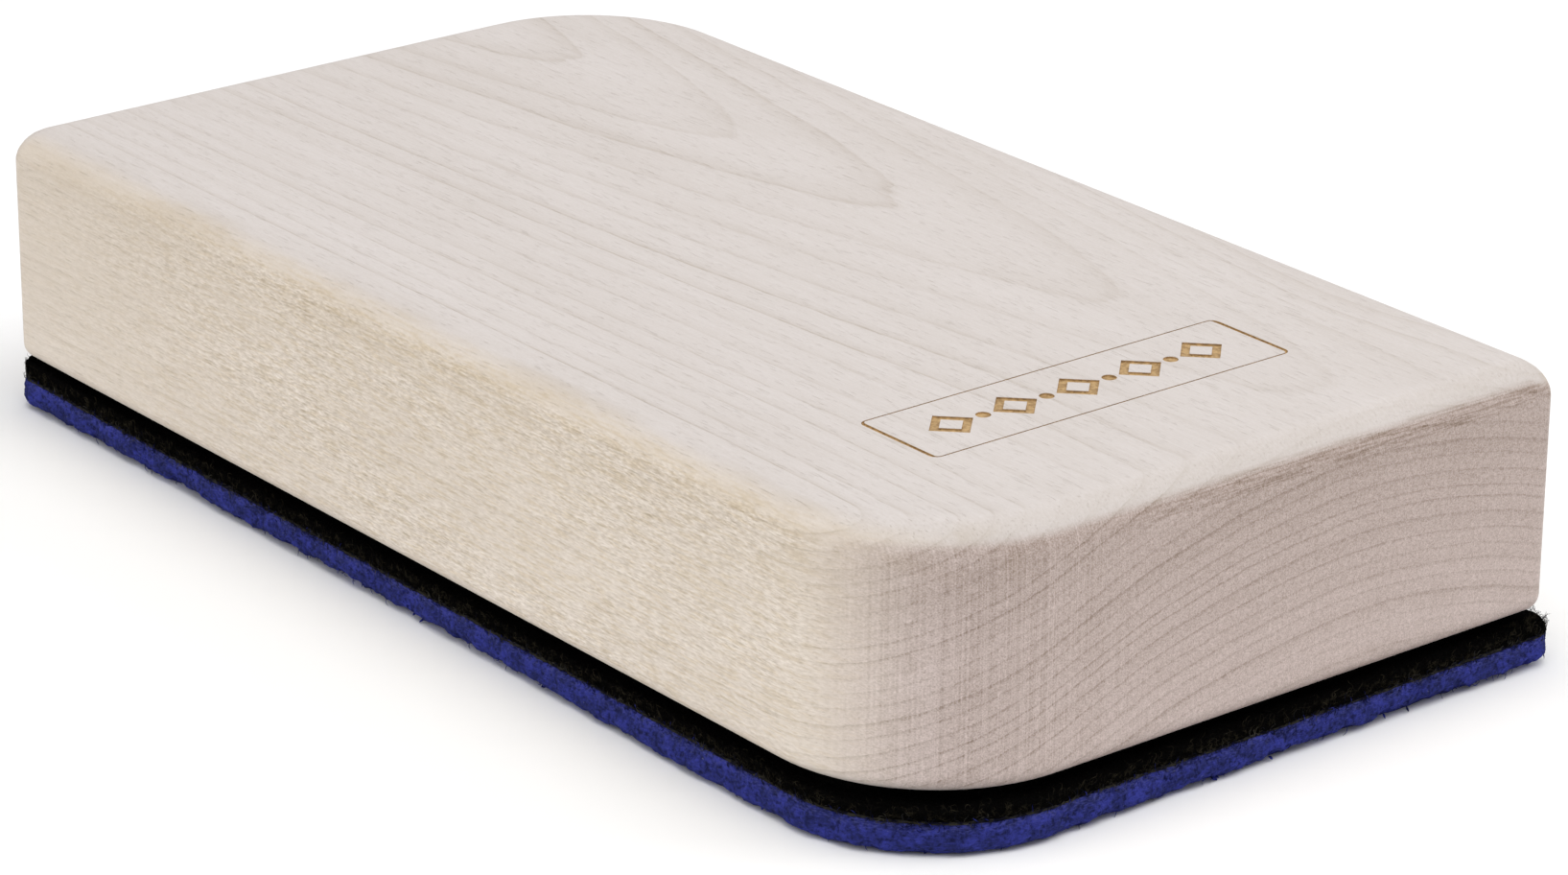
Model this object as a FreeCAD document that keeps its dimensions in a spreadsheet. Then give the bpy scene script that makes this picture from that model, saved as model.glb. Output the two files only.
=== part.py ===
import FreeCAD, Part
import math
import os
import Sketcher

# Magnetic board eraser, millimetres.
# A solid maple block carries disc magnets and a hook sheet on its underside. A wiping pad,
# made of loop fleece bonded to wool felt, is held on by the hooks and comes off to be changed.
#
# Frame: origin in the middle of the felt's wiping face, +X along the block, +Z up through it.
# In plan the block is a leaf: two diagonal corners (+X -Y and -X +Y) have a large radius and
# the other two are nearly square.

SIZES = {
    # maple block
    "block_length": 160.0,
    "block_width": 87.0,
    "block_height": 28.0,
    "corner_large": 20.0,
    "corner_small": 2.0,
    "top_round": 4.0,
    "bottom_round": 2.0,
    # layers under the block, from the wiping face up
    "felt_thickness": 3.5,
    "web_thickness": 0.2,
    "fleece_thickness": 1.2,
    "hook_thickness": 0.8,
    "adhesive_thickness": 0.2,
    # outlines of those layers, measured from the block's own outline
    "pad_outset": 0.5,
    "web_inset": 0.3,
    "hook_inset": 4.0,
    "hook_corner_small": 1.5,
    # disc magnets and the blind holes they are glued into
    "magnet_radius": 10.0,
    "magnet_thickness": 5.0,
    "magnet_edge": 0.3,
    "pocket_play": 0.2,
    "pocket_depth": 5.4,
    "magnet_reach_x": 50.0,
    "magnet_reach_y": 21.0,
    # engraved panel near the +X end of the top face
    "engraving_depth": 0.2,
    "panel_centre_x": 55.5,
    "panel_centre_y": -0.8,
    "panel_length": 47.9,
    "panel_width": 12.0,
    "panel_corner": 1.0,
    "panel_line_side": 0.2,
    "panel_line_end": 0.5,
    "diamond_reach": 2.9,
    "diamond_core": 1.6,
    "dot_radius": 0.8,
    "motif_pitch": 8.4,
}
DIAMONDS = 5
TOOL_RISE = 1.0      # how far the cutting tools stand out of the face they cut
QUARTER_TURN = math.pi / 2
TINY = 1e-6

# Heights of the layers above the wiping face, as expressions of the sheet's cells.
WEB_LEVEL = "Size.felt_thickness"
FLEECE_LEVEL = WEB_LEVEL + " + Size.web_thickness"
HOOK_LEVEL = FLEECE_LEVEL + " + Size.fleece_thickness"
ADHESIVE_LEVEL = HOOK_LEVEL + " + Size.hook_thickness"
BLOCK_LEVEL = ADHESIVE_LEVEL + " + Size.adhesive_thickness"
TOP_LEVEL = BLOCK_LEVEL + " + Size.block_height"

doc = FreeCAD.newDocument("board_eraser")


def make_sheet():
    sheet = doc.addObject("Spreadsheet::Sheet", "Size")
    for row, (alias, value) in enumerate(SIZES.items(), start=1):
        sheet.set("A%d" % row, alias)
        sheet.set("B%d" % row, str(value))
        sheet.setAlias("B%d" % row, alias)
    doc.recompute()
    return sheet


def bind(feature, **expressions):
    for name, expression in expressions.items():
        feature.setExpression(name.replace("__", "."), expression)


def origin_plane(body, role):
    return next(f for f in body.Origin.OriginFeatures if f.Role == role)


def leaf_sketch(body, half_length, half_width, large, small):
    """A closed outline with two large and two small corners, centred on the body's origin."""
    sketch = body.newObject("Sketcher::SketchObject", body.Name + "_outline")
    sketch.AttachmentSupport = [(origin_plane(body, "XY_Plane"), "")]
    sketch.MapMode = "FlatFace"
    # It is drawn at the block's own size, and the constraints then set it to the sizes asked.
    length = SIZES["block_length"] / 2
    width = SIZES["block_width"] / 2
    radius = SIZES["corner_small"]
    # One side and the corner that follows it, going round from the -Y side.
    turns = ((1, -1), (1, 1), (-1, 1), (-1, -1))
    for number, (sx, sy) in enumerate(turns):
        px, py = turns[number - 1]
        start = FreeCAD.Vector(px * length, py * width, 0)
        end = FreeCAD.Vector(sx * length, sy * width, 0)
        along = (end - start).normalize() * radius
        sketch.addGeometry(Part.LineSegment(start + along, end - along), False)
        centre = FreeCAD.Vector(sx * (length - radius), sy * (width - radius), 0)
        first = (number - 1) * QUARTER_TURN
        circle = Part.Circle(centre, FreeCAD.Vector(0, 0, 1), radius)
        sketch.addGeometry(Part.ArcOfCircle(circle, first, first + QUARTER_TURN), False)
    for number in range(4):
        side, corner, following = 2 * number, 2 * number + 1, (2 * number + 2) % 8
        sketch.addConstraint(Sketcher.Constraint("Tangent", side, 2, corner, 1))
        sketch.addConstraint(Sketcher.Constraint("Tangent", corner, 2, following, 1))
    for side, kind in ((0, "Horizontal"), (2, "Vertical"), (4, "Horizontal"), (6, "Vertical")):
        sketch.addConstraint(Sketcher.Constraint(kind, side))
    reaches = (
        ("DistanceY", (0, 1, -1, 1), half_width),
        ("DistanceX", (-1, 1, 2, 1), half_length),
        ("DistanceY", (-1, 1, 4, 1), half_width),
        ("DistanceX", (6, 1, -1, 1), half_length),
    )
    for kind, points, expression in reaches:
        guess = width if kind == "DistanceY" else length
        index = sketch.addConstraint(Sketcher.Constraint(kind, *points, guess))
        sketch.setExpression("Constraints[%d]" % index, expression)
    for corner, expression in ((1, large), (3, small), (5, large), (7, small)):
        index = sketch.addConstraint(Sketcher.Constraint("Radius", corner, radius))
        sketch.setExpression("Constraints[%d]" % index, expression)
    return sketch


def make_layer(name, level, thickness, offset, small):
    """A flat sheet cut to the block's outline, grown by offset, lying at level."""
    body = doc.addObject("PartDesign::Body", name)
    body.Label = name
    sketch = leaf_sketch(
        body,
        "Size.block_length / 2 + " + offset,
        "Size.block_width / 2 + " + offset,
        "Size.corner_large + " + offset,
        small,
    )
    pad = body.newObject("PartDesign::Pad", name + "_pad")
    pad.Profile = sketch
    bind(pad, Length=thickness)
    if level:
        bind(body, Placement__Base__z=level)
    return body


def magnet_places():
    """Expressions for the four magnets' centres, one near each corner of the block."""
    return [
        ("%sSize.magnet_reach_x" % sx, "%sSize.magnet_reach_y" % sy)
        for sx in ("-", "")
        for sy in ("-", "")
    ]


def make_magnet(number, place_x, place_y):
    body = doc.addObject("PartDesign::Body", "disc_magnet_%d" % number)
    body.Label = body.Name
    disc = body.newObject("PartDesign::AdditiveCylinder", "disc_%d" % number)
    bind(disc, Radius="Size.magnet_radius", Height="Size.magnet_thickness")
    doc.recompute()
    rims = ["Edge%d" % i for i, edge in enumerate(disc.Shape.Edges, 1)
            if isinstance(edge.Curve, Part.Circle)]
    chamfer = body.newObject("PartDesign::Chamfer", "edge_%d" % number)
    chamfer.Base = (disc, rims)
    bind(chamfer, Size="Size.magnet_edge")
    bind(body, Placement__Base__x=place_x, Placement__Base__y=place_y,
         Placement__Base__z=BLOCK_LEVEL)
    return body


def make_box(name, length, width, height, level, centre_x="0", centre_y="0"):
    """A box that stands on level, centred on centre_x and centre_y."""
    box = doc.addObject("Part::Box", name)
    bind(box, Length=length, Width=width, Height=height,
         Placement__Base__x="%s - (%s) / 2" % (centre_x, length),
         Placement__Base__y="%s - (%s) / 2" % (centre_y, width),
         Placement__Base__z=level)
    return box


def round_edges(name, base, radius_of):
    """base with its edges filleted; radius_of gives an edge's radius, or None for no fillet."""
    doc.recompute()
    fillet = doc.addObject("Part::Fillet", name)
    fillet.Base = base
    radii = [(i, radius_of(edge)) for i, edge in enumerate(base.Shape.Edges, 1)]
    fillet.Edges = [(i, radius, radius) for i, radius in radii if radius]
    doc.recompute()
    return fillet


def is_upright(edge):
    box = edge.BoundBox
    return box.XLength < TINY and box.YLength < TINY


def upright_only(radius):
    """A rule for round_edges: this radius on upright edges, and the rest stay sharp."""
    return lambda edge: radius if is_upright(edge) else None


def make_block_solid(sheet):
    """The maple block before drilling and engraving."""
    blank = make_box("blank", "Size.block_length", "Size.block_width", "Size.block_height",
                     BLOCK_LEVEL)

    def large_corner(edge):
        place = edge.CenterOfMass
        return sheet.corner_large if is_upright(edge) and place.x * place.y < 0 else None

    outline = round_edges("leaf_block", blank, large_corner)
    box = outline.Shape.BoundBox

    def softened(edge):
        reach = edge.BoundBox
        if is_upright(edge):
            place = edge.CenterOfMass
            return sheet.corner_small if place.x * place.y > 0 else None
        if reach.ZMin > box.ZMax - TINY:
            return sheet.top_round
        return sheet.bottom_round if reach.ZMax < box.ZMin + TINY else None

    return round_edges("softened_block", outline, softened)


def make_panel_line(sheet):
    """The thin rounded frame of the engraved panel, as a cutting tool."""
    depth = "Size.engraving_depth + %g" % TOOL_RISE
    level = TOP_LEVEL + " - Size.engraving_depth"
    outer = make_box("panel_outer", "Size.panel_width", "Size.panel_length", depth, level,
                     "Size.panel_centre_x", "Size.panel_centre_y")
    inner = make_box("panel_inner", "Size.panel_width - 2 * Size.panel_line_side",
                     "Size.panel_length - 2 * Size.panel_line_end", depth, level,
                     "Size.panel_centre_x", "Size.panel_centre_y")
    corner = sheet.panel_corner
    inner_corner = corner - sheet.panel_line_end
    rounded = [round_edges("panel_outer_rounded", outer, upright_only(corner)),
               round_edges("panel_inner_rounded", inner, upright_only(inner_corner))]
    line = doc.addObject("Part::Cut", "panel_line")
    line.Base, line.Tool = rounded
    return line


def make_diamond(name, reach, offset):
    prism = doc.addObject("Part::Prism", name)
    prism.Polygon = 4
    bind(prism, Circumradius=reach, Height="Size.engraving_depth + %g" % TOOL_RISE,
         Placement__Base__x="Size.panel_centre_x",
         Placement__Base__y="Size.panel_centre_y + %g * Size.motif_pitch" % offset,
         Placement__Base__z=TOP_LEVEL + " - Size.engraving_depth")
    return prism


def make_motif():
    """A plain row of hollow diamonds with a dot between each pair."""
    pieces = []
    for number in range(DIAMONDS):
        offset = number - (DIAMONDS - 1) / 2
        ring = doc.addObject("Part::Cut", "diamond_%d" % (number + 1))
        ring.Base = make_diamond("diamond_outer_%d" % (number + 1), "Size.diamond_reach", offset)
        ring.Tool = make_diamond("diamond_core_%d" % (number + 1), "Size.diamond_core", offset)
        pieces.append(ring)
        if number < DIAMONDS - 1:
            dot = doc.addObject("Part::Cylinder", "dot_%d" % (number + 1))
            bind(dot, Radius="Size.dot_radius",
                 Height="Size.engraving_depth + %g" % TOOL_RISE,
                 Placement__Base__x="Size.panel_centre_x",
                 Placement__Base__y="Size.panel_centre_y + %g * Size.motif_pitch" % (offset + 0.5),
                 Placement__Base__z=TOP_LEVEL + " - Size.engraving_depth")
            pieces.append(dot)
    return pieces


def make_pockets():
    """Cutting tools for the magnets' blind holes, open at the block's underside."""
    pockets = []
    for number, (place_x, place_y) in enumerate(magnet_places(), start=1):
        pocket = doc.addObject("Part::Cylinder", "pocket_%d" % number)
        bind(pocket, Radius="Size.magnet_radius + Size.pocket_play",
             Height="Size.pocket_depth + %g" % TOOL_RISE,
             Placement__Base__x=place_x, Placement__Base__y=place_y,
             Placement__Base__z=BLOCK_LEVEL + " - %g" % TOOL_RISE)
        pockets.append(pocket)
    return pockets


def make_block(sheet):
    solid = make_block_solid(sheet)
    tools = doc.addObject("Part::MultiFuse", "block_tools")
    tools.Shapes = make_pockets() + [make_panel_line(sheet)] + make_motif()
    block = doc.addObject("Part::Cut", "wooden_block")
    block.Label = "wooden_block"
    block.Base, block.Tool = solid, tools
    return block


def write_parts(parts):
    for thing in doc.Objects:
        if "Invalid" in thing.State or "Error" in thing.State:
            raise RuntimeError("%s did not compute: %s" % (thing.Name, thing.State))
    os.makedirs("parts", exist_ok=True)
    for part in parts:
        shape = part.Shape
        if shape.isNull() or not shape.isValid() or len(shape.Solids) != 1:
            raise RuntimeError("%s is not one valid solid" % part.Label)
        shape.exportStep("parts/%s.step" % part.Label)
        box = shape.BoundBox
        print("%-15s %9.0f mm3   z %6.2f to %6.2f" % (part.Label, shape.Volume, box.ZMin, box.ZMax))


sheet = make_sheet()
parts = [
    make_layer("felt_pad", None, "Size.felt_thickness",
               "Size.pad_outset", "Size.corner_small + Size.pad_outset"),
    make_layer("bonding_web", WEB_LEVEL, "Size.web_thickness",
               "Size.pad_outset - Size.web_inset",
               "Size.corner_small + Size.pad_outset - Size.web_inset"),
    make_layer("loop_fleece", FLEECE_LEVEL, "Size.fleece_thickness",
               "Size.pad_outset", "Size.corner_small + Size.pad_outset"),
    make_layer("hook_sheet", HOOK_LEVEL, "Size.hook_thickness",
               "-1 * Size.hook_inset", "Size.hook_corner_small"),
    make_layer("adhesive_film", ADHESIVE_LEVEL, "Size.adhesive_thickness",
               "-1 * Size.hook_inset", "Size.hook_corner_small"),
]
for number, (place_x, place_y) in enumerate(magnet_places(), start=1):
    parts.append(make_magnet(number, place_x, place_y))
parts.append(make_block(sheet))
doc.recompute()
write_parts(parts)
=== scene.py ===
import math
import random

import bpy
import numpy as np
from mathutils import Matrix, Vector, geometry, noise


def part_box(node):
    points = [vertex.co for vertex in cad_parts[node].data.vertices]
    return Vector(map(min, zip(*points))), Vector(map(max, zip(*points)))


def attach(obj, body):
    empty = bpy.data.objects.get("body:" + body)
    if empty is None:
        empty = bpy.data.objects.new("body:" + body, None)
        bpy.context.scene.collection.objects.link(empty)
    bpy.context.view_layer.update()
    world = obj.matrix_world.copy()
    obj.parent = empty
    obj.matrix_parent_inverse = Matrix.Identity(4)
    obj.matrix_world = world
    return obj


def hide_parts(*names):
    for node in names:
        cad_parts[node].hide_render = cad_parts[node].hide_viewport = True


# A wooden board eraser: a maple block over a black hook-and-loop layer and a blue felt.
# Lengths in this script are millimetres until mesh_piece() or MM turns them into metres.

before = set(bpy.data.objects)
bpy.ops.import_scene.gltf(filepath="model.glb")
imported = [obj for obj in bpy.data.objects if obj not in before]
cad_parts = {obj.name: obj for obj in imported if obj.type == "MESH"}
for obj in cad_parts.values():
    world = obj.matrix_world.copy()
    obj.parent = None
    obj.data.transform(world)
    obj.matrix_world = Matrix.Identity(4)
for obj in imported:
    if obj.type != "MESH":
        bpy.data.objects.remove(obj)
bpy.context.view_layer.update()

MM = 0.001
BLOCK_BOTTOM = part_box("wooden_block")[0].z / MM
BLOCK_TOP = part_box("wooden_block")[1].z / MM
BLOCK_REACH_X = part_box("wooden_block")[1].x / MM
FELT_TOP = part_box("felt_pad")[1].z / MM
FLEECE_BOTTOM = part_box("loop_fleece")[0].z / MM
FLEECE_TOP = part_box("loop_fleece")[1].z / MM
PAD_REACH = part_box("felt_pad")[1] / MM          # half length and half width of the pad
PAD_OUTSET = (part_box("felt_pad")[1].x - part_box("wooden_block")[1].x) / MM
CORNER_LARGE = 20.0 + PAD_OUTSET                # the pad's corner radii
CORNER_SMALL = 2.0 + PAD_OUTSET
PAD_SHIFT = Vector((0.28, 0.35, 0.0))           # the pad is drawn pressed on slightly askew
PANEL_CENTRE = (55.5, -0.8)                     # the engraved panel on the top face
PANEL_REACH = (7.0, 25.0)


# --- shader formulas ------------------------------------------------------------------------

class Field:
    """A number that shader nodes work out, so that a material reads as a formula."""

    def __init__(self, tree, socket):
        self.tree = tree
        self.socket = socket

    def math(self, operation, *others):
        node = self.tree.nodes.new("ShaderNodeMath")
        node.operation = operation
        for slot, value in zip(node.inputs, (self, *others)):
            feed(self.tree, value, slot)
        return Field(self.tree, node.outputs[0])

    def __add__(self, other):
        return self.math("ADD", other)

    def __sub__(self, other):
        return self.math("SUBTRACT", other)

    def __mul__(self, other):
        return self.math("MULTIPLY", other)

    def __truediv__(self, other):
        return self.math("DIVIDE", other)

    def __abs__(self):
        return self.math("ABSOLUTE")

    def most(self, other):
        return self.math("MAXIMUM", other)

    def least(self, other):
        return self.math("MINIMUM", other)

    def rise(self, low, high):
        """0 below low, 1 above high, smooth between; falls instead if low is above high."""
        node = self.tree.nodes.new("ShaderNodeMapRange")
        node.interpolation_type = "SMOOTHSTEP"
        feed(self.tree, self, node.inputs["Value"])
        node.inputs["From Min"].default_value = low
        node.inputs["From Max"].default_value = high
        return Field(self.tree, node.outputs["Result"])


def feed(tree, value, slot):
    if isinstance(value, Field):
        tree.links.new(value.socket, slot)
    else:
        slot.default_value = value


def new_material(name, **settings):
    """A material with its own shader; settings are single values on the shader's sockets."""
    material = bpy.data.materials.new(name)
    material.use_nodes = True
    shader = material.node_tree.nodes["Principled BSDF"]
    for socket, value in settings.items():
        shader.inputs[socket.replace("_", " ")].default_value = value
    return material, material.node_tree, shader


def position(tree):
    """Where the point is on its body, in millimetres: the vector and its three parts."""
    coordinates = tree.nodes.new("ShaderNodeTexCoord")
    scaled = tree.nodes.new("ShaderNodeVectorMath")
    scaled.operation = "SCALE"
    scaled.inputs["Scale"].default_value = 1 / MM
    tree.links.new(coordinates.outputs["Object"], scaled.inputs[0])
    parts = tree.nodes.new("ShaderNodeSeparateXYZ")
    tree.links.new(scaled.outputs[0], parts.inputs[0])
    return scaled.outputs[0], *(Field(tree, socket) for socket in parts.outputs)


def facing(tree):
    """The surface's direction on its body, as three numbers."""
    coordinates = tree.nodes.new("ShaderNodeTexCoord")
    parts = tree.nodes.new("ShaderNodeSeparateXYZ")
    tree.links.new(coordinates.outputs["Normal"], parts.inputs[0])
    return [Field(tree, socket) for socket in parts.outputs]


def grain(tree, vector, size, detail=2.0, start=0.0):
    """Noise from 0 to 1 whose features are about size = (x, y, z) millimetres."""
    mapping = tree.nodes.new("ShaderNodeMapping")
    mapping.inputs["Scale"].default_value = [1 / s for s in size]
    mapping.inputs["Location"].default_value = (start, start * 0.7, start * 1.3)
    tree.links.new(vector, mapping.inputs["Vector"])
    texture = tree.nodes.new("ShaderNodeTexNoise")
    texture.inputs["Scale"].default_value = 1.0
    texture.inputs["Detail"].default_value = detail
    tree.links.new(mapping.outputs[0], texture.inputs["Vector"])
    return Field(tree, texture.outputs["Fac"])


def line_noise(tree, field, size, start=0.0):
    """Noise from 0 to 1 along one number."""
    texture = tree.nodes.new("ShaderNodeTexNoise")
    texture.noise_dimensions = "1D"
    texture.inputs["Scale"].default_value = 1.0
    texture.inputs["Detail"].default_value = 1.0
    feed(tree, field / size + start, texture.inputs["W"])
    return Field(tree, texture.outputs["Fac"])


def blend_colours(tree, amount, first, second, how="MIX", limit=True):
    """first where amount is 0 and second where it is 1; each is a colour or a socket. With no
    limit, an amount below 0 or above 1 goes on past the two."""
    node = tree.nodes.new("ShaderNodeMix")
    node.data_type = "RGBA"
    node.blend_type = how
    node.clamp_factor = limit
    feed(tree, amount, node.inputs[0])
    for slot, colour in ((node.inputs[6], first), (node.inputs[7], second)):
        if isinstance(colour, tuple):
            slot.default_value = (*colour, 1)
        else:
            tree.links.new(colour, slot)
    return node.outputs[2]


def add_bump(tree, shader, height):
    """height is in millimetres."""
    bump = tree.nodes.new("ShaderNodeBump")
    bump.inputs["Distance"].default_value = MM
    feed(tree, height, bump.inputs["Height"])
    tree.links.new(bump.outputs[0], shader.inputs["Normal"])


# --- the wood -------------------------------------------------------------------------------

RING = 1.65          # mean distance between rings, up the end face
CREST_LEVEL = 25.7   # height on the end face of a ring's closing line, at the crest
PALE = (1.10, 1.115, 1.14)      # the lightest and the darkest wood, as shares of the mean colour
DEEP = (0.60, 0.54, 0.44)
DEEP_END = (0.60, 0.555, 0.50)  # the same on end grain, which darkens without yellowing
TAN = (0.90, 0.84, 0.70)        # a straw stain, as a share of the colour under it


def ring_place(tree, vector, x, y, z):
    """Which growth ring a point is in, counted outwards from the heart, as a real number.

    Across the end face the rings are flat arches, a little steeper on the +Y side of their
    crest; behind the end face the crest is sharper. Along the block they sink towards -X,
    less and less towards the -Y side, so that the flat cut of the top face opens them into
    nested tongues that point to +X."""
    crest = x * -0.025 + 18.5
    near_side = (y - crest).least(0.0)
    far_side = (y - crest).most(0.0)
    square = near_side * near_side
    inner = x.rise(BLOCK_REACH_X, 45.0)
    arch = square / 210.0 + far_side * far_side * (inner * 0.007 + 0.0067)
    sharp = (square / 81.0 + 1.0).math("POWER", -1.0) * inner
    blunt = (square / 900.0 + 1.0).math("POWER", -1.0) * (inner * -1.0 + 1.0)
    ridge = (sharp + blunt) * -1.6 + 1.6
    tilt = (square / 1225.0 + 1.0).math("POWER", -1.0) * 0.0532
    slow = (grain(tree, vector, (70.0, 16.0, 12.0), 1.0, 3.1) - 0.5) * 0.9
    quick = (grain(tree, vector, (24.0, 2.6, 2.2), 2.0, 8.4) - 0.5) * 0.30
    ripple = (grain(tree, vector, (6.0, 0.7, 0.6), 1.0, 2.7) - 0.5) * 0.10
    level = z - BLOCK_BOTTOM + arch + ridge + tilt * (x - BLOCK_REACH_X)
    level = level + slow + quick + ripple - CREST_LEVEL
    uneven = (line_noise(tree, level, 3.4, 2.2) - 0.5) * 1.3
    return (level + uneven) / RING + 30.0


def ring_lines(tree, vector, ring):
    """The thin line that closes each ring, as cut along and as cut across the grain, and the
    softer late wood before it; all from 0 to 1."""
    share = ring.math("FRACT")
    closing = share.rise(0.90, 0.985).least(share.rise(1.001, 0.995)).most(share.rise(0.035, 0.0))
    across = share.rise(0.70, 0.95) * share.rise(1.001, 0.98)
    late = share.rise(0.55, 0.98) * share.rise(1.001, 0.99)
    strength = line_noise(tree, ring.math("FLOOR"), 0.37, 5.0).rise(0.30, 0.72) * 0.65 + 0.35
    dashes = grain(tree, vector, (4.5, 0.55, 0.55), 2.0, 31.0).rise(0.32, 0.62) * 0.85 + 0.25
    return closing * strength * dashes, across * strength, late * strength


def engraved(x, y, z):
    """1 on the floor and walls of the engraving in the top face."""
    below_top = z.rise(BLOCK_TOP - 0.02, BLOCK_TOP - 0.06)
    near_top = z.rise(BLOCK_TOP - 0.5, BLOCK_TOP - 0.4)
    in_x = abs(x - PANEL_CENTRE[0]).rise(PANEL_REACH[0] + 0.1, PANEL_REACH[0])
    in_y = abs(y - PANEL_CENTRE[1]).rise(PANEL_REACH[1] + 0.1, PANEL_REACH[1])
    return below_top * near_top * in_x * in_y


def make_maple():
    """Maple: mean colours for flat, upright and end grain, and one depth of tone over them.

    Noise sizes are (along the grain, across it, up it) in millimetres. Tone runs from 0 for
    the palest wood to 1 for the deepest, and a little beyond both."""
    material, tree, shader = new_material("maple", Roughness=0.58)
    shader.inputs["Specular IOR Level"].default_value = 0.35
    vector, x, y, z = position(tree)
    facing_x, facing_y, facing_z = facing(tree)
    end = abs(facing_x).rise(0.12, 0.88) * facing_z.rise(0.68, 0.38)
    side = abs(facing_y).rise(0.30, 0.95)
    flat = end * -1.0 + 1.0
    sawn = abs(facing_y).rise(0.80, 0.985)          # on the straight long sides only

    # fibres, pores, ray flecks and tool marks
    ring = ring_place(tree, vector, x, y, z)
    closing, across, late = ring_lines(tree, vector, ring)
    cloud = grain(tree, vector, (38.0, 11.0, 9.0), 2.0, 1.0) - 0.5
    fibre = grain(tree, vector, (7.0, 0.36, 0.36), 3.0, 4.0) - 0.5
    fine_fibre = grain(tree, vector, (2.0, 0.14, 0.14), 2.0, 6.0) - 0.5
    pore = grain(tree, vector, (2.2, 0.16, 0.16), 1.0, 9.0).rise(0.64, 0.76)
    patch = grain(tree, vector, (26.0, 12.0, 9.0), 2.0, 12.0).rise(0.34, 0.62)
    long_fleck = grain(tree, vector, (2.6, 1.6, 0.27), 2.0, 15.0) - 0.5
    short_fleck = grain(tree, vector, (0.80, 1.0, 0.19), 2.0, 16.0) - 0.5
    speckle = grain(tree, vector, (1.2, 0.15, 0.15), 2.0, 18.0) - 0.5
    blotch = grain(tree, vector, (4.0, 0.60, 0.55), 3.0, 19.0) - 0.5
    planer = grain(tree, vector, (30.0, 0.17, 30.0), 3.0, 21.0) - 0.5
    scored = line_noise(tree, y, 0.42, 3.0).rise(0.66, 0.80) * y.rise(-13.0, -24.0)
    hatch = grain(tree, vector, (1.5, 5.0, 0.20), 2.0, 41.0)
    dust = grain(tree, vector, (0.32, 0.22, 0.22), 2.0, 27.0) - 0.5
    planed = y.rise(-8.0, -26.0) * 1.15 + 0.25

    # the tone of the plain wood and of its growth rings
    tone = cloud * 0.20 + fibre * 0.22 + fine_fibre * 0.22 + dust * 0.20 + pore * flat * 0.20
    soft = end * y.rise(-12.0, 22.0)                # where the end face's lines are blurred
    behind = y.rise(-14.0, 14.0) * x.rise(-75.0, 0.0)
    ahead = x.rise(30.0, 60.0) * y.rise(-40.0, -15.0)
    faint = behind.most(ahead) * facing_z.rise(0.85, 0.98)             # where the top's are
    brow = facing_z.rise(0.45, 0.80) * facing_z.rise(0.9995, 0.975)    # the top's rounded edge
    line = (x.rise(-85.0, 15.0) * 0.20 + 0.14) * (side * x.rise(78.0, 50.0) * -0.65 + 1.0)
    tone = tone + closing * line * flat * (faint * -0.55 + 1.0) * (brow * -0.85 + 1.0)
    cut = across * (planer * planed * 2.0 + 1.0)
    tone = tone + cut * end * (soft * -0.14 + 0.46) * (brow * -0.6 + 1.0)
    tone = tone + late * flat * (side * -0.02 + 0.15) * (faint * -0.30 + 1.0) * (brow * -0.5 + 1.0)

    # ray flecks on the long sides, speckle and planer marks on the ends, hatching at their brim
    fleck = (patch * 0.5 + 0.6) * (long_fleck * 0.22 + short_fleck * 1.15)
    along = (x.rise(-80.0, -15.0) * 1.05 + 0.40) * (x.rise(80.0, 52.0) * 0.6 + 0.4)
    tone = tone + (sawn * 0.8 + side * 0.2) * flat * fleck * along
    tone = tone + end * (speckle * 2.10 + blotch * 0.75 + planer * planed * 0.80 - scored * 0.16)
    brim = facing_z.rise(0.0, 0.14) * facing_z.rise(0.66, 0.44) * abs(facing_x).rise(0.5, 0.8)
    tone = tone + brim * y.rise(-26.0, 0.0) * (hatch.rise(0.44, 0.62) * 0.46 + 0.04)

    # broad bands and stains, the slow change of tone along each face, and painted light and shade
    # up the upright faces
    band = line_noise(tree, ring, 2.3, 9.0).rise(0.30, 0.70) - 0.5
    stain = grain(tree, vector, (16.0, 5.0, 3.0), 4.0, 33.0).rise(0.42, 0.68)
    edge = z.rise(BLOCK_TOP - 8.0, BLOCK_TOP - 2.0) * facing_z.rise(0.990, 0.93)
    along_edge = edge * abs(facing_y).rise(0.10, 0.40)
    tone = tone + end * band * 0.16 + along_edge * stain * 0.06
    tone = tone - side * (x.rise(-60.0, 50.0) * 0.07 + 0.07)
    # upper and lower are painted light and shade, both stronger on the end grain: painted shade
    # high on the upright faces, and painted bounce light from the floor low on them
    upper = z.rise(BLOCK_BOTTOM + 13.0, BLOCK_TOP - 2.5) * facing_z.rise(0.85, 0.35)
    lower = z.rise(BLOCK_BOTTOM + 16.0, BLOCK_BOTTOM)
    tone = tone + brow * abs(facing_x).rise(0.1, 0.5) * 0.10
    tone = tone + upper * (end * 0.12 + 0.09) - lower * (end * 0.08 + side * 0.05 + 0.06)
    tone = tone + flat * 0.06 + 0.15

    mean = blend_colours(tree, side * 0.85, (0.627, 0.576, 0.548), (0.700, 0.608, 0.504))
    mean = blend_colours(tree, end, mean, (0.497, 0.403, 0.362))
    pale = blend_colours(tree, 1.0, mean, PALE, "MULTIPLY")
    darker = blend_colours(tree, end, DEEP, DEEP_END)
    deep = blend_colours(tree, 1.0, mean, darker, "MULTIPLY")
    colour = blend_colours(tree, tone.most(-0.6).least(1.3), pale, deep, limit=False)
    straw = side * flat * long_fleck.rise(-0.04, 0.16) * (along * 0.37) + along_edge * stain * 0.24
    colour = blend_colours(tree, straw.least(1.0), colour, TAN, "MULTIPLY")

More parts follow.
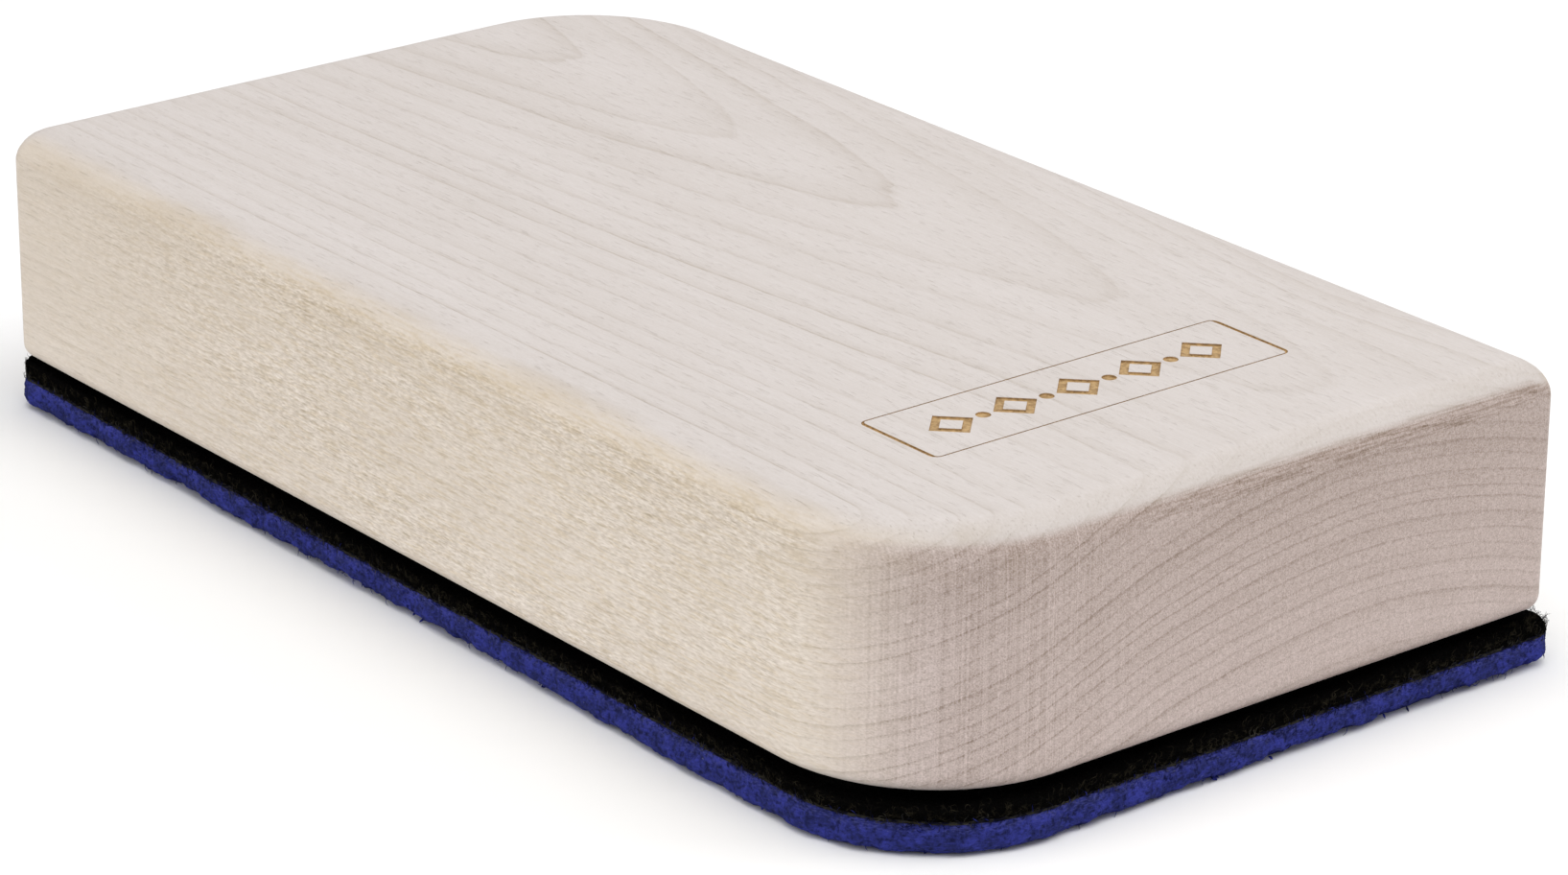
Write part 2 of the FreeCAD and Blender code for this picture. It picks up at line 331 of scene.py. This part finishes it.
    burn = engraved(x, y, z)
    scorch = grain(tree, vector, (0.5, 0.5, 0.5), 3.0, 24.0).rise(0.3, 0.75)
    char = blend_colours(tree, scorch, (0.54, 0.36, 0.17), (0.30, 0.18, 0.075))
    colour = blend_colours(tree, burn, colour, char)
    tree.links.new(colour, shader.inputs["Base Color"])

    height = fibre * 0.014 - pore * 0.030 - closing * 0.010 + side * short_fleck * 0.012
    add_bump(tree, shader, height + speckle * end * 0.04 + scorch * burn * 0.05)
    return material


# --- cloth, film and metal ------------------------------------------------------------------

def make_felt_cloth():
    """Deep blue needled wool: bright tufts, dark pits and a few pale fibres."""
    material, tree, shader = new_material("blue_felt", Roughness=1.0, Sheen_Weight=0.06,
                                          Sheen_Roughness=0.5)
    shader.inputs["Specular IOR Level"].default_value = 0.05
    shader.inputs["Sheen Tint"].default_value = (0.30, 0.35, 0.95, 1)
    vector, _, _, z = position(tree)
    tuft = grain(tree, vector, (2.4, 2.4, 1.6), 3.0, 2.0)
    speck = grain(tree, vector, (0.52, 0.52, 0.44), 3.0, 5.0)
    strand = grain(tree, vector, (0.55, 0.55, 0.16), 2.0, 8.0)
    streak = grain(tree, vector, (0.45, 0.45, 1.6), 2.0, 17.0)
    lint = grain(tree, vector, (0.50, 0.50, 0.22), 2.0, 13.0).rise(0.70, 0.78)
    haze = z.rise(FELT_TOP - 1.3, FELT_TOP - 0.3) * strand.rise(0.46, 0.62)
    bright = tuft.rise(0.36, 0.70) * 0.7 + strand.rise(0.42, 0.75) * 0.5 + (speck - 0.5) * 1.8
    colour = blend_colours(tree, bright, (0.020, 0.024, 0.110), (0.042, 0.050, 0.310))
    pit = speck.rise(0.46, 0.34).most(streak.rise(0.38, 0.28) * 0.7)
    colour = blend_colours(tree, pit * 0.52, colour, (0.006, 0.007, 0.034))
    colour = blend_colours(tree, haze * 0.35, colour, (0.085, 0.090, 0.220))
    colour = blend_colours(tree, lint * 0.5, colour, (0.16, 0.17, 0.28))
    tree.links.new(colour, shader.inputs["Base Color"])
    add_bump(tree, shader, speck * 0.55 + strand * 0.20 + tuft * 0.30 + streak * 0.15)
    return material


FELT_HAIR_DARK, FELT_HAIR_LIGHT = (0.008, 0.010, 0.060), (0.036, 0.044, 0.280)
SEAM_HAIR_DARK, SEAM_HAIR_LIGHT = (0.006, 0.007, 0.016), (0.070, 0.066, 0.052)
PILE_HAIR_DARK, PILE_HAIR_LIGHT = (0.0015, 0.0015, 0.0015), (0.034, 0.029, 0.019)
LOOP_HAIR_DARK, LOOP_HAIR_LIGHT = (0.006, 0.006, 0.006), (0.046, 0.042, 0.038)


def make_fibre_cloth(name, dark, light, size, start):
    """Loose fibres: each stretch of a fibre takes a shade between dark and light."""
    material, tree, shader = new_material(name, Roughness=0.9)
    shader.inputs["Specular IOR Level"].default_value = 0.03
    vector = position(tree)[0]
    shade = grain(tree, vector, (size, size, size), 2.0, start).rise(0.40, 0.70)
    tree.links.new(blend_colours(tree, shade, dark, light), shader.inputs["Base Color"])
    add_bump(tree, shader, grain(tree, vector, (0.1, 0.1, 0.1), 1.0, start) * 0.02)
    return material


CORNER_LOSS = 0.586     # what rounding takes off |x| + |y| at a corner, as a share of its radius


def make_pile_cloth():
    """Black looped pile; the tips of the loops have a dull brown cast. Clear of the rim, where
    the hooks comb it open, the upper face is a little greyer."""
    material, tree, shader = new_material("black_fleece", Roughness=1.0)
    shader.inputs["Specular IOR Level"].default_value = 0.0
    vector, x, y, z = position(tree)
    curl = grain(tree, vector, (0.55, 0.55, 0.40), 3.0, 3.0)
    loop = abs(curl - 0.5).rise(0.03, 0.0)
    patch = grain(tree, vector, (4.0, 4.0, 1.5), 2.0, 7.0).rise(0.42, 0.65)
    low = z.rise(FLEECE_TOP - 0.2, FLEECE_BOTTOM + 0.1)
    shade = loop * (patch * 0.8 + 0.2) * (low * 0.8 + 0.2)
    colour = blend_colours(tree, shade, (0.0028, 0.0026, 0.0026), (0.034, 0.030, 0.021))
    diagonal = PAD_REACH.x + PAD_REACH.y - CORNER_LOSS * CORNER_LARGE
    inside = abs(x).rise(PAD_REACH.x - 2.5, PAD_REACH.x - 5.0)
    inside = inside * abs(y).rise(PAD_REACH.y - 2.5, PAD_REACH.y - 5.0)
    inside = inside * abs(x - y).rise(diagonal - 4.0, diagonal - 8.0)
    upper = facing(tree)[2].rise(0.55, 0.90) * inside
    mat = curl.rise(0.35, 0.70) * 0.6 + patch * 0.4
    combed = blend_colours(tree, mat, (0.0034, 0.0032, 0.0030), (0.019, 0.0175, 0.016))
    colour = blend_colours(tree, upper, colour, combed)
    tree.links.new(colour, shader.inputs["Base Color"])
    add_bump(tree, shader, curl * 0.5 + loop * 0.12)
    return material


def make_melt():
    """The melted web: dull grey-olive, with navy fibres caught in it."""
    material, tree, shader = new_material("melt_web", Roughness=0.9)
    shader.inputs["Specular IOR Level"].default_value = 0.05
    vector = position(tree)[0]
    caught = grain(tree, vector, (0.9, 0.9, 0.3), 3.0, 4.0).rise(0.42, 0.60)
    colour = blend_colours(tree, caught, (0.030, 0.028, 0.022), (0.004, 0.004, 0.012))
    tree.links.new(colour, shader.inputs["Base Color"])
    add_bump(tree, shader, caught * -0.10)
    return material


def make_nylon():
    """Black hook tape with the sheen of moulded nylon."""
    material, tree, shader = new_material("hook_nylon", Roughness=0.38)
    vector, x, y, _ = position(tree)
    weave = abs(x.math("MULTIPLY", 1.6).math("SINE") * y.math("MULTIPLY", 2.4).math("SINE"))
    mottle = grain(tree, vector, (0.7, 0.7, 0.7), 2.0, 6.0)
    shade = weave * 0.5 + mottle * 0.5
    colour = blend_colours(tree, shade, (0.004, 0.004, 0.005), (0.014, 0.013, 0.013))
    tree.links.new(colour, shader.inputs["Base Color"])
    tree.links.new((mottle * 0.3 + 0.28).socket, shader.inputs["Roughness"])
    add_bump(tree, shader, weave * 0.05 + mottle * 0.04)
    return material


def make_film():
    """Adhesive film: clear with a straw tint, milky where air is caught under it."""
    material, tree, shader = new_material("adhesive_film", Transmission_Weight=0.6, IOR=1.47)
    vector = position(tree)[0]
    bubble = grain(tree, vector, (1.6, 1.6, 1.6), 3.0, 2.0).rise(0.58, 0.70)
    cloud = grain(tree, vector, (14.0, 9.0, 9.0), 2.0, 5.0)
    tint = blend_colours(tree, cloud, (0.80, 0.74, 0.58), (0.88, 0.85, 0.76))
    colour = blend_colours(tree, bubble, tint, (0.93, 0.92, 0.89))
    tree.links.new(colour, shader.inputs["Base Color"])
    tree.links.new((bubble * 0.35 + cloud * 0.2 + 0.15).socket, shader.inputs["Roughness"])
    add_bump(tree, shader, bubble * 0.03)
    return material


def make_nickel():
    """Nickel plate: bright, faintly yellow, with fine scratches and dull handled patches."""
    material, tree, shader = new_material("nickel_plate", Metallic=1.0)
    vector = position(tree)[0]
    scratch = grain(tree, vector, (3.0, 0.05, 0.5), 3.0, 2.0)
    cross = grain(tree, vector, (0.06, 2.4, 0.5), 3.0, 9.0)
    handled = grain(tree, vector, (3.5, 3.5, 3.5), 3.0, 5.0).rise(0.42, 0.64)
    colour = blend_colours(tree, handled, (0.66, 0.63, 0.58), (0.53, 0.50, 0.45))
    tree.links.new(colour, shader.inputs["Base Color"])
    rough_part = scratch * 0.12 + cross * 0.10 + handled * 0.14 + 0.10
    tree.links.new(rough_part.socket, shader.inputs["Roughness"])
    add_bump(tree, shader, scratch * 0.004 + cross * 0.004)
    return material


# --- mesh tools ------------------------------------------------------------------------------

def mesh_piece(name, points, faces, body, material):
    """A smooth-shaded piece that rides on body; points are in millimetres."""
    mesh = bpy.data.meshes.new(name)
    mesh.from_pydata((np.asarray(points) * MM).tolist(), [], faces)
    mesh.shade_smooth()
    mesh.materials.append(material)
    piece = bpy.data.objects.new(name, mesh)
    bpy.context.scene.collection.objects.link(piece)
    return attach(piece, body)


def leaf_outline(reach_x, reach_y, large, small, step):
    """Points round a leaf-shaped outline, anticlockwise, and the outward direction at each."""
    points, outward = [], []
    corners = ((1, -1, large), (1, 1, small), (-1, 1, large), (-1, -1, small))
    for number, (sx, sy, radius) in enumerate(corners):
        centre = np.array((sx * (reach_x - radius), sy * (reach_y - radius)))
        count = max(3, round(radius * math.pi / 2 / step))
        for i in range(count + 1):
            angle = (number - 1 + i / count) * math.pi / 2
            direction = np.array((math.cos(angle), math.sin(angle)))
            points.append(centre + direction * radius)
            outward.append(direction)
        nx, ny, following = corners[(number + 1) % 4]
        end = np.array((nx * (reach_x - following), ny * (reach_y - following)))
        end = end + direction * following
        count = round(float(np.linalg.norm(end - points[-1])) / step)
        for i in range(1, count):
            points.append(points[-1] + (end - points[-1]) / (count + 1 - i))
            outward.append(direction)
    return np.array(points), np.array(outward)


def slab(outline, outward, rows, step, seed):
    """Points and faces of a closed sheet. rows are (inset, z) pairs up its edge, and its two
    faces are filled with uneven triangles about step across. Also gives each point's row."""
    count = len(outline)
    points = [(*(p - o * inset), z) for inset, z in rows for p, o in zip(outline, outward)]
    row_of = [row for row in range(len(rows)) for _ in range(count)]
    faces = []
    for row in range(len(rows) - 1):
        for i in range(count):
            j = (i + 1) % count
            low, high = row * count, (row + 1) * count
            faces.append((low + i, low + j, high + j, high + i))
    for row, turn in ((0, -1), (len(rows) - 1, 1)):
        rim = [Vector(points[row * count + i][:2]) for i in range(count)]
        flat = rim + scatter_inside(rim, step, seed + row)
        edges = [(i, (i + 1) % count) for i in range(count)]
        filled = geometry.delaunay_2d_cdt(flat, edges, [], 1, 1e-6)
        index = {}
        for new, olds in enumerate(filled[3]):
            if olds and olds[0] < count:
                index[new] = row * count + olds[0]
            else:
                index[new] = len(points)
                points.append((*filled[0][new], rows[row][1]))
                row_of.append(row)
        for face in filled[2]:
            faces.append(tuple(index[v] for v in face[::turn]))
    return np.array(points), faces, np.array(row_of)


def scatter_inside(rim, step, seed):
    """Uneven points about step apart, inside the rim and clear of it."""
    pick = random.Random(seed)
    reach_x = max(p.x for p in rim)
    reach_y = max(p.y for p in rim)
    large = CORNER_LARGE
    found = []
    for i in range(int(-reach_x / step), int(reach_x / step) + 1):
        for j in range(int(-reach_y / step), int(reach_y / step) + 1):
            x = (i + pick.uniform(-0.35, 0.35)) * step
            y = (j + pick.uniform(-0.35, 0.35)) * step
            gap = min(reach_x - abs(x), reach_y - abs(y))
            over_x, over_y = abs(x) - (reach_x - large), abs(y) - (reach_y - large)
            if x * y < 0 and over_x > 0 and over_y > 0:
                gap = large - math.hypot(over_x, over_y)
            if gap > step * 0.6:
                found.append(Vector((x, y)))
    return found


def rough(place, size, start=0.0):
    """Noise from -1 to 1 whose features are about size millimetres."""
    return noise.noise(Vector((place[0] / size + start, place[1] / size, place[2] / size)))


def fibres(name, paths, radii, body, material):
    """Thin three-sided tubes along the paths, tapered towards their ends, as one piece."""
    points, faces = [], []
    thirds = (0.0, 2.0944, 4.1888)      # of a turn
    corners = [(math.cos(a), math.sin(a)) for a in thirds]
    for path, radius in zip(paths, radii):
        start = len(points)
        last = len(path) - 1
        axis = (path[-1] - path[0]).normalized()
        side = axis.orthogonal().normalized()
        other = axis.cross(side)
        for i, place in enumerate(path):
            width = radius * (1.0 - 0.75 * abs(2 * i / last - 1) ** 3)
            points.extend(place + side * (c * width) + other * (s * width) for c, s in corners)
        for i in range(last):
            a = start + 3 * i
            for k in range(3):
                m = (k + 1) % 3
                faces.append((a + k, a + m, a + 3 + m, a + 3 + k))
        faces.append((start + 2, start + 1, start))
        faces.append(tuple(start + 3 * last + k for k in range(3)))
    return mesh_piece(name, points, faces, body, material)


# --- the pad --------------------------------------------------------------------------------

CUT_LARGE = CORNER_LARGE - 2.0      # the pad is cut a little tighter round the large corners
EDGE_STEP = 0.32     # distance between points round the pad's edge
FACE_STEP = 1.05     # and across its faces
FLARE = 0.8          # how far the hem flares out along part of the -Y side
FLARE_MIDDLE = 45.0  # where along X it flares most
FLARE_SPREAD = 24.0


def pad_outline():
    return leaf_outline(PAD_REACH.x, PAD_REACH.y, CUT_LARGE, CORNER_SMALL, EDGE_STEP)


def edge_rows(low, high, round_low, round_high, walls):
    """(inset, z) pairs from the lower face, round its edge, up the wall and onto the top."""
    rows = []
    for i in range(5):
        angle = i / 4 * math.pi / 2
        rows.append((round_low * (1 - math.sin(angle)), low + round_low * (1 - math.cos(angle))))
    bottom, top = low + round_low, high - round_high
    rows.extend((0.0, bottom + (top - bottom) * i / walls) for i in range(1, walls))
    for i in range(5):
        angle = i / 4 * math.pi / 2
        rows.append((round_high * (1 - math.cos(angle)), top + round_high * math.sin(angle)))
    return rows


def from_large_corner(place):
    """Distance to the large corner at +X -Y, where the pad lies flattest on the floor."""
    return math.hypot(PAD_REACH.x - place[0], PAD_REACH.y + place[1])


def hem_flare(place):
    """How far the hem's lower edge flares out at a place on the pad."""
    if place[1] > 0:
        return 0.0
    return FLARE * math.exp(-((place[0] - FLARE_MIDDLE) / FLARE_SPREAD) ** 2)


def make_felt(material):
    """Needled felt: lumpy cut edge, hem worn round and lifted off the floor here and there."""
    outline, outward = pad_outline()
    rows = edge_rows(0.0, FELT_TOP, 1.25, 0.15, 8)
    points, faces, row_of = slab(outline, outward, rows, FACE_STEP, 11)
    count = len(outline)
    inner = count * len(rows)
    for n, place in enumerate(points):
        height = place[2] / FELT_TOP
        if n < inner:
            push = rough(place, 3.2, 1.0) * 0.26 + rough(place, 1.0, 5.0) * 0.16
            push += rough(place, 0.45, 9.0) * 0.14 - 0.10 + 0.22 * math.sin(math.pi * height)
            ends = 1.0 if 0 < row_of[n] < len(rows) - 1 else 0.3
            along = (place[0], place[1], 0.0)
            lift = abs(rough(along, 5.5, 3.0)) + abs(rough(along, 2.6, 7.0)) * 1.6
            lift = lift * min(1.0, 0.12 + from_large_corner(place) / 80.0)
            lift += rough(along, 0.6, 2.0) * 0.10
            flare = hem_flare(place) * (1 - height)
            place[:2] += outward[n % count] * (push * ends + flare)
            place[2] += lift * (1 - height) ** 2 * (0.25 if row_of[n] == 0 else 1.0)
        elif row_of[n] == 0:
            place[2] += max(0.0, rough(place, 2.2, 4.0)) * 0.12
    points += np.array(PAD_SHIFT)
    piece = mesh_piece("blue_felt", points, faces, "pad", material)
    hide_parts("felt_pad")
    return piece


def make_fleece(material):
    """Looped pile: a soft bumpy edge and a looped top that the hooks grip."""
    outline, outward = pad_outline()
    rows = edge_rows(FLEECE_BOTTOM, FLEECE_TOP, 0.10, 0.60, 5)
    points, faces, row_of = slab(outline, outward, rows, 0.80, 23)
    count = len(outline)
    inner = count * len(rows)
    for n, place in enumerate(points):
        if n < inner:
            push = rough(place, 2.4, 2.0) * 0.20 + rough(place, 0.7, 6.0) * 0.26 - 0.16
            place[:2] += outward[n % count] * push * (1.0 if row_of[n] > 0 else 0.3)
        if row_of[n] == len(rows) - 1:
            place[2] += abs(rough(place, 1.1, 8.0)) * 0.55 - 0.30
        rim = min(PAD_REACH.x - abs(place[0]), PAD_REACH.y - abs(place[1]))
        corner = math.hypot(PAD_REACH.x + place[0], PAD_REACH.y + place[1])
        swell = max(0.0, 1.0 - corner / 24.0) * max(0.0, min(1.0, (3.6 - rim) / 1.2))
        place[2] += swell * 0.95 * (place[2] - FLEECE_BOTTOM) / (FLEECE_TOP - FLEECE_BOTTOM)
        place[2] = min(place[2], BLOCK_BOTTOM - 0.05)
    points += np.array(PAD_SHIFT)
    piece = mesh_piece("loop_pile", points, faces, "pad", material)
    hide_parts("loop_fleece")
    return piece


def make_web(material):
    """The melted film between felt and fleece, squeezed out here and there along the edge."""
    outline, outward = pad_outline()
    rows = edge_rows(FELT_TOP - 0.05, FLEECE_BOTTOM + 0.05, 0.10, 0.10, 2)
    points, faces, _ = slab(outline, outward, rows, 6.0, 37)
    count = len(outline)
    for n in range(count * len(rows)):
        squeezed = rough(points[n], 2.6, 4.0) * 0.20 + rough(points[n], 0.8, 1.0) * 0.14 - 0.06
        points[n][:2] += outward[n % count] * squeezed
    points += np.array(PAD_SHIFT)
    piece = mesh_piece("melt_web", points, faces, "pad", material)
    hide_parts("bonding_web")
    return piece


def fuzz_paths(count, seed, levels, reach, length, lift, turns):
    """Curved fibres rooted on the pad's edge: levels is the band of heights they start in,
    reach how far out they may stand, lift how much they rise and turns how curly they are."""
    pick = random.Random(seed)
    outline, outward = pad_outline()
    paths = []
    for _ in range(count):
        i = pick.randrange(len(outline))
        out = Vector((*outward[i], 0))
        along = Vector((-out.y, out.x, 0))
        up = Vector((0, 0, 1))
        root = Vector((*outline[i], pick.uniform(*levels))) + PAD_SHIFT - out * 0.15
        way = along * pick.uniform(-1, 1) + up * pick.uniform(-0.6, 0.6) + up * lift
        way.normalize()
        long = pick.uniform(*length)
        stand = pick.uniform(0.15, 1.0) * reach
        stand *= min(1.0, math.hypot(PAD_REACH.x + root.x, PAD_REACH.y + root.y) / 25.0)
        phase = pick.uniform(0, math.tau)
        path = []
        for k in range(6):
            t = k / 5
            bend = math.sin(phase + t * turns) - math.sin(phase)
            place = root + way * (long * t) + out * (stand * math.sin(t * math.pi * 0.8))
            place += way.cross(out) * (bend * long * 0.25)
            place.z = max(place.z, 0.03)
            path.append(place)
        paths.append(path)
    return paths, [pick.uniform(0.7, 1.3) for _ in range(count)]


def make_felt_fuzz(material):
    paths, widths = fuzz_paths(4600, 41, (0.9, FELT_TOP), 0.20, (0.3, 1.1), 0.1, 3.0)
    return fibres("felt_fuzz", paths, [w * 0.040 for w in widths], "pad", material)


def make_nubs(material):
    """Small matted tufts that stick out of the hem where the felt was cut."""
    pick = random.Random(61)
    outline, outward = pad_outline()
    paths, radii = [], []
    for _ in range(26):
        i = pick.randrange(len(outline))
        out = Vector((*outward[i], 0))
        along = Vector((-out.y, out.x, 0))
        for _ in range(pick.choice((1, 1, 2, 4))):
            shift = along * pick.uniform(-0.8, 0.8)
            start = Vector((*outline[i], pick.uniform(0.45, 0.9))) + PAD_SHIFT - out * 0.6 + shift
            end = start + out * pick.uniform(0.40, 0.62) + along * pick.uniform(-0.3, 0.3)
            end.z = max(0.12, start.z - pick.uniform(0.1, 0.5))
            paths.append([start.lerp(end, k / 3) for k in range(4)])
            radii.append(pick.uniform(0.12, 0.26))
    return fibres("hem_nubs", paths, radii, "pad", material)


def make_seam_fuzz(material):
    """Olive and navy fibres pulled out where the fleece is bonded to the felt."""
    levels = (FELT_TOP - 0.10, FELT_TOP + 0.35)
    paths, widths = fuzz_paths(2600, 43, levels, 0.24, (0.3, 1.1), 0.0, 4.0)
    return fibres("seam_fuzz", paths, [w * 0.034 for w in widths], "pad", material)


def make_pile_loops(material):
    levels = (FLEECE_BOTTOM + 0.1, FLEECE_TOP - 0.1)
    paths, widths = fuzz_paths(5200, 47, levels, 0.27, (0.4, 1.5), 0.30, 5.5)
    return fibres("pile_loops", paths, [w * 0.028 for w in widths], "pad", material)


LOOP_STEP = 1.55     # distance between the loops that stand on the fleece
LOOP_INSET = 2.8     # and from its edge to them


def make_top_loops(material):
    """Standing loops on the fleece's upper face, for the hooks to catch."""
    pick = random.Random(71)
    outline, outward = pad_outline()
    pairs = zip(outline[::12], outward[::12])
    rim = [Vector(p) - Vector(out) * LOOP_INSET for p, out in pairs]
    paths = []
    for spot in scatter_inside(rim, LOOP_STEP, 73):
        turn = pick.uniform(0, math.tau)
        along = Vector((math.cos(turn), math.sin(turn), 0)) * pick.uniform(0.25, 0.60)
        aside = Vector((-along.y, along.x, 0)) * pick.uniform(-0.5, 0.5)
        root = Vector((spot.x, spot.y, FLEECE_TOP - 0.25)) + PAD_SHIFT
        tall = pick.uniform(0.25, 0.55)
        path = []
        for k in range(5):
            t = k / 4
            arch = math.sin(math.pi * t)
            place = root + along * (2 * t - 1) + aside * arch
            path.append(place + Vector((0, 0, tall * arch)))
        paths.append(path)
    radii = [pick.uniform(0.035, 0.060) for _ in paths]
    return fibres("top_loops", paths, radii, "pad", material)


def make_corner_tuft(material):
    """Loose curls that rise from the fleece beside the near-square +X +Y corner."""
    pick = random.Random(67)
    paths = []
    for _ in range(150):
        along = pick.uniform(0.0, 1.0) ** 2 * 9.0
        root = Vector((PAD_REACH.x - 1.5, PAD_REACH.y - 1.3 - along, FLEECE_TOP - 0.3))
        root += PAD_SHIFT
        root += Vector((pick.uniform(-0.7, 0.6), pick.uniform(-0.6, 0.6), 0))
        size = pick.uniform(0.25, 0.75) * (1.0 - along / 14.0)
        turn, spin = pick.uniform(0, math.tau), pick.choice((-1, 1)) * pick.uniform(3.0, 6.0)
        lean = Vector((pick.uniform(-0.2, 0.7), pick.uniform(-0.4, 0.7), pick.uniform(0.5, 1.2)))
        path = []
        for k in range(9):
            t = k / 8
            curl = Vector((math.cos(turn + spin * t), 0.7 * math.sin(turn + spin * t),
                           math.sin(turn + spin * t))) * size * 0.5
            path.append(root + lean * (size * t * 1.5) + curl)
        paths.append(path)
    radii = [pick.uniform(0.018, 0.032) for _ in paths]
    return fibres("corner_tuft", paths, radii, "pad", material)


# --- the hook tape --------------------------------------------------------------------------

HOOK_PITCH = 1.6     # distance between hooks, coarser than on real tape
TAPE_BACK = 0.35     # thickness of the hook tape without its hooks
TAPE_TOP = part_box("hook_sheet")[1].z / MM
TAPE_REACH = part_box("hook_sheet")[1] / MM
TAPE_LARGE = CORNER_LARGE - (PAD_REACH.x - TAPE_REACH.x)


def make_tape(material):
    """The hook tape's backing, with a slightly wavy slit edge."""
    outline, outward = leaf_outline(TAPE_REACH.x, TAPE_REACH.y, TAPE_LARGE, 0.5, 0.9)
    rows = edge_rows(TAPE_TOP - TAPE_BACK, TAPE_TOP - 0.01, 0.06, 0.06, 2)
    points, faces, _ = slab(outline, outward, rows, 4.0, 53)
    for n in range(len(outline) * len(rows)):
        wave = rough((points[n][0], points[n][1], 0.0), 3.0, 2.0) * 0.10 - 0.06
        points[n][:2] += outward[n % len(outline)] * wave
    piece = mesh_piece("hook_tape", points, faces, "block", material)
    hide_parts("hook_sheet")
    return piece


def make_hooks(material):
    """Rows of small hooks under the tape; rows turn alternately to +X and -X."""
    pick = random.Random(59)
    root_level = TAPE_TOP - TAPE_BACK + 0.05
    # (aside, up) from a hook's root to its tip
    shape = ((0.0, 0.0), (0.0, -0.30), (0.05, -0.52), (0.20, -0.62), (0.36, -0.52), (0.40, -0.36))
    paths = []
    for i in range(int(-TAPE_REACH.x / HOOK_PITCH) + 1, int(TAPE_REACH.x / HOOK_PITCH)):
        for j in range(int(-TAPE_REACH.y / HOOK_PITCH) + 1, int(TAPE_REACH.y / HOOK_PITCH)):
            x, y = i * HOOK_PITCH, j * HOOK_PITCH
            over_x = abs(x) - (TAPE_REACH.x - TAPE_LARGE)
            over_y = abs(y) - (TAPE_REACH.y - TAPE_LARGE)
            at_large = x * y < 0 and over_x > 0 and over_y > 0
            if at_large and math.hypot(over_x, over_y) > TAPE_LARGE - 1:
                continue
            turn = 1 if j % 2 else -1
            x += pick.uniform(-0.12, 0.12)
            lean = pick.uniform(-0.15, 0.15)
            paths.append([Vector((x + turn * dx, y - lean * dz, root_level + dz * 1.1))
                          for dx, dz in shape])
    return fibres("tape_hooks", paths, [0.10] * len(paths), "block", material)


# --- the studio -----------------------------------------------------------------------------

def make_camera():
    """A long lens, from above the near large corner of the block."""
    azimuth, elevation, roll = math.radians(51.18), math.radians(21.86), math.radians(0.46)
    distance, focal = 628.4, 132.5
    shift_right, shift_up = 4.5, -9.6               # slides the camera without turning it
    target = Vector((0, 0, 20.9))
    back = Vector((math.sin(azimuth) * math.cos(elevation),
                   -math.cos(azimuth) * math.cos(elevation), math.sin(elevation)))
    right = Vector((math.cos(azimuth), math.sin(azimuth), 0))
    up = back.cross(right)
    place = (target + back * distance + right * shift_right + up * shift_up) * MM
    data = bpy.data.cameras.new("camera")
    data.lens = focal
    data.sensor_width = 36
    data.clip_start = 0.01
    data.clip_end = 20
    camera = bpy.data.objects.new("camera", data)
    bpy.context.scene.collection.objects.link(camera)
    across = right * math.cos(roll) + up * math.sin(roll)
    upright = up * math.cos(roll) - right * math.sin(roll)
    turn = Matrix((across, upright, back)).transposed().to_4x4()
    camera.matrix_world = Matrix.Translation(place) @ turn
    bpy.context.scene.camera = camera


def add_softbox(name, place, size, power):
    """A square area light at place, in metres, that faces the block."""
    data = bpy.data.lights.new(name, "AREA")
    data.size = size
    data.energy = power
    light = bpy.data.objects.new(name, data)
    bpy.context.scene.collection.objects.link(light)
    light.location = place
    light.rotation_euler = Vector(place).to_track_quat("Z", "Y").to_euler()


def make_lights():
    """A pale room with three softboxes."""
    world = bpy.data.worlds.new("studio")
    world.use_nodes = True
    background = world.node_tree.nodes["Background"]
    background.inputs["Color"].default_value = (1, 1, 1, 1)
    background.inputs["Strength"].default_value = 0.5
    bpy.context.scene.world = world
    bpy.context.scene.view_settings.view_transform = "Standard"
    add_softbox("overhead", (0.25, -0.1, 1.15), 1.2, 9.5)
    add_softbox("left", (-0.7, -1.5, 0.8), 1.0, 4.4)
    add_softbox("back", (0.8, 1.3, 1.3), 0.9, 7.65)


def make_floor():
    bpy.ops.mesh.primitive_plane_add(size=6, location=(0, 0, 0))
    floor = bpy.context.object
    floor.name = "floor"
    material, _, shader = new_material("floor", Roughness=0.9)
    shader.inputs["Base Color"].default_value = (0.95, 0.95, 0.95, 1)
    floor.data.materials.append(material)


def dress(node, material):
    """Gives a CAD node its material."""
    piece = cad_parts[node]
    piece.data.materials.clear()
    piece.data.materials.append(material)


def make_pad():
    felt_cloth, pile_cloth = make_felt_cloth(), make_pile_cloth()
    felt_hair = make_fibre_cloth("felt_hair", FELT_HAIR_DARK, FELT_HAIR_LIGHT, 0.6, 3.0)
    seam_hair = make_fibre_cloth("seam_hair", SEAM_HAIR_DARK, SEAM_HAIR_LIGHT, 1.2, 6.0)
    pile_hair = make_fibre_cloth("pile_hair", PILE_HAIR_DARK, PILE_HAIR_LIGHT, 0.9, 9.0)
    felt, fleece = make_felt(felt_cloth), make_fleece(pile_cloth)
    web = make_web(make_melt())
    on_felt = [make_felt_fuzz(felt_hair), make_nubs(felt_hair), make_seam_fuzz(seam_hair)]
    loop_hair = make_fibre_cloth("loop_hair", LOOP_HAIR_DARK, LOOP_HAIR_LIGHT, 1.4, 12.0)
    on_fleece = [make_pile_loops(pile_hair), make_top_loops(loop_hair)]
    on_fleece.append(make_corner_tuft(pile_hair))


def make_hook_tape():
    nylon = make_nylon()
    tape, hooks = make_tape(nylon), make_hooks(nylon)


make_camera()
make_lights()
make_floor()
dress("wooden_block", make_maple())
dress("adhesive_film", make_film())
nickel = make_nickel()
for number in range(1, 5):
    dress(f"disc_magnet_{number}", nickel)
make_pad()
make_hook_tape()
